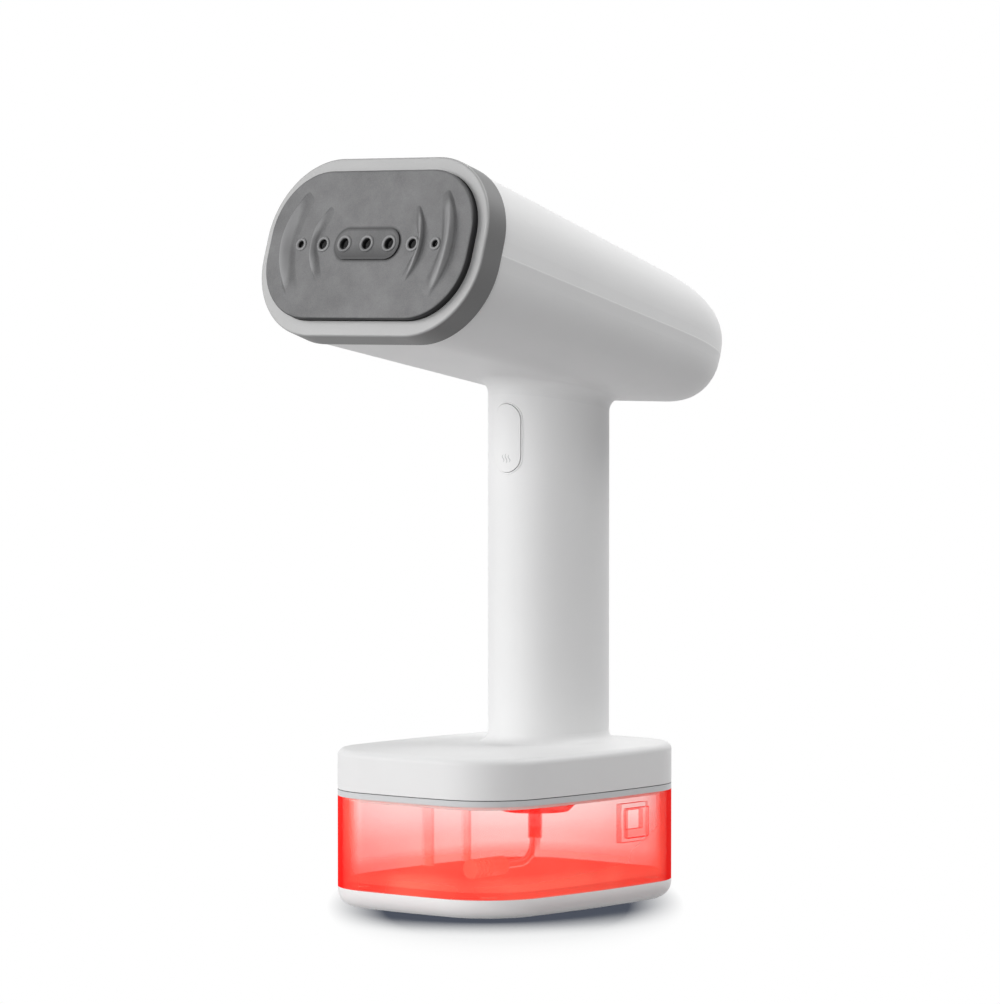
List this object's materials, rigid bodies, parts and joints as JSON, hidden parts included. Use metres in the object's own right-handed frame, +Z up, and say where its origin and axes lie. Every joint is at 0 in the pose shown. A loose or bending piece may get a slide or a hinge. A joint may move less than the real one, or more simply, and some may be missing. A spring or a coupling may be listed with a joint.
{
  "type": "garment steamer",
  "caption": "Hand-held garment steamer with a tilted steam head on an oval handle, a front steam trigger and a clear red water tank that forms its foot.",
  "frame": {"origin": "middle of the non-slip pad's underside, on the surface it stands on", "axes": "+Z up, -Y the way the steam face looks, +X to the right seen from behind the face"},
  "size_m": [0.1028, 0.1794, 0.2694],
  "materials": {
    "white_plastic": "satin white moulded plastic",
    "grey_rim": "pale grey moulded plastic",
    "red_tank": "clear red plastic",
    "silver_bezel": "silver satin",
    "plate_metal": "dark satin coating",
    "cast_metal": "as cast",
    "black_rubber": "matte",
    "black_plastic": "matte",
    "clear_hose": "milky silicone",
    "steel": "plain steel",
    "brass": "plain brass",
    "copper": "lacquered wire",
    "board_green": "green laminate",
    "lens": "milky clear"
  },
  "bodies": {
    "housing": {"base_cover": "white_plastic", "cover_floor": "white_plastic", "coupling_ring": "black_rubber", "floor_screws": "steel", "handle_shell": "white_plastic", "head_upper_shell": "white_plastic", "head_lower_shell": "white_plastic", "trigger_spring": "steel", "steam_switch": "black_plastic", "switch_bracket": "white_plastic", "bracket_screws": "steel", "control_board": "board_green", "board_screws": "steel", "relay": "black_plastic", "terminal_block": "board_green", "tact_switch": "black_plastic", "indicator_lens": "lens", "cord_gland": "black_rubber", "pump_plate": "black_plastic", "plate_screws": "steel", "pump_body": "white_plastic", "pump_coil": "copper", "pump_spring": "steel", "suction_hose": "clear_hose", "feed_hose": "clear_hose", "steam_plate": "plate_metal", "plate_gasket": "black_rubber", "bezel_ring": "silver_bezel", "clamp_frame": "black_plastic", "frame_screws": "steel", "boiler_block": "cast_metal", "heating_element": "steel", "boiler_seal": "clear_hose", "boiler_lid": "cast_metal", "lid_screws": "steel", "inlet_nozzle": "brass", "thermostat": "black_plastic", "thermal_fuse": "steel"},
    "trigger": {"steam_trigger": "white_plastic"},
    "switch_plunger": {"switch_plunger": "black_plastic"},
    "power": {"power_button": "white_plastic"},
    "pump_piston": {"pump_plunger": "steel"},
    "tank": {"tank_shell": "red_tank", "tank_lid": "grey_rim", "lid_seal": "clear_hose", "pickup_fitting": "red_tank", "dip_hose": "clear_hose", "sinking_filter": "red_tank", "tank_tray": "white_plastic", "tray_screws": "steel", "non_slip_pad": "black_rubber"},
    "flap": {"filler_flap": "red_tank"}
  },
  "joints": [
    {"name": "steam_trigger_press", "type": "slide", "parent": "housing", "child": "trigger", "axis": [0, 1, 0], "range_m": [0, 0.0025], "stiffness_N_per_m": 800, "deforming": ["trigger_spring"]},
    {"name": "switch_plunger_press", "type": "slide", "parent": "housing", "child": "switch_plunger", "axis": [0, 1, 0], "range_m": [0, 0.0025]},
    {"name": "power_button_press", "type": "slide", "parent": "housing", "child": "power", "axis": [0, -1, 0], "range_m": [0, 0.0008], "stiffness_N_per_m": 1500},
    {"name": "pump_piston_stroke", "type": "slide", "parent": "housing", "child": "pump_piston", "axis": [0, 0, 1], "range_m": [-0.0015, 0.0015], "stiffness_N_per_m": 600, "deforming": ["pump_spring"]},
    {"name": "tank_removal", "type": "slide", "parent": "housing", "child": "tank", "axis": [0, 0, -1], "range_m": [0, 0.06]},
    {"name": "filler_flap_hinge", "type": "hinge", "parent": "tank", "child": "flap", "pos_m": [0.04399, 0.021, 0.0258], "axis": [0, 1, 0], "range_deg": [0, 95]}
  ],
  "couplings": [
    {"joint": "switch_plunger_press", "follows": "steam_trigger_press", "ratio": 1}
  ]
}
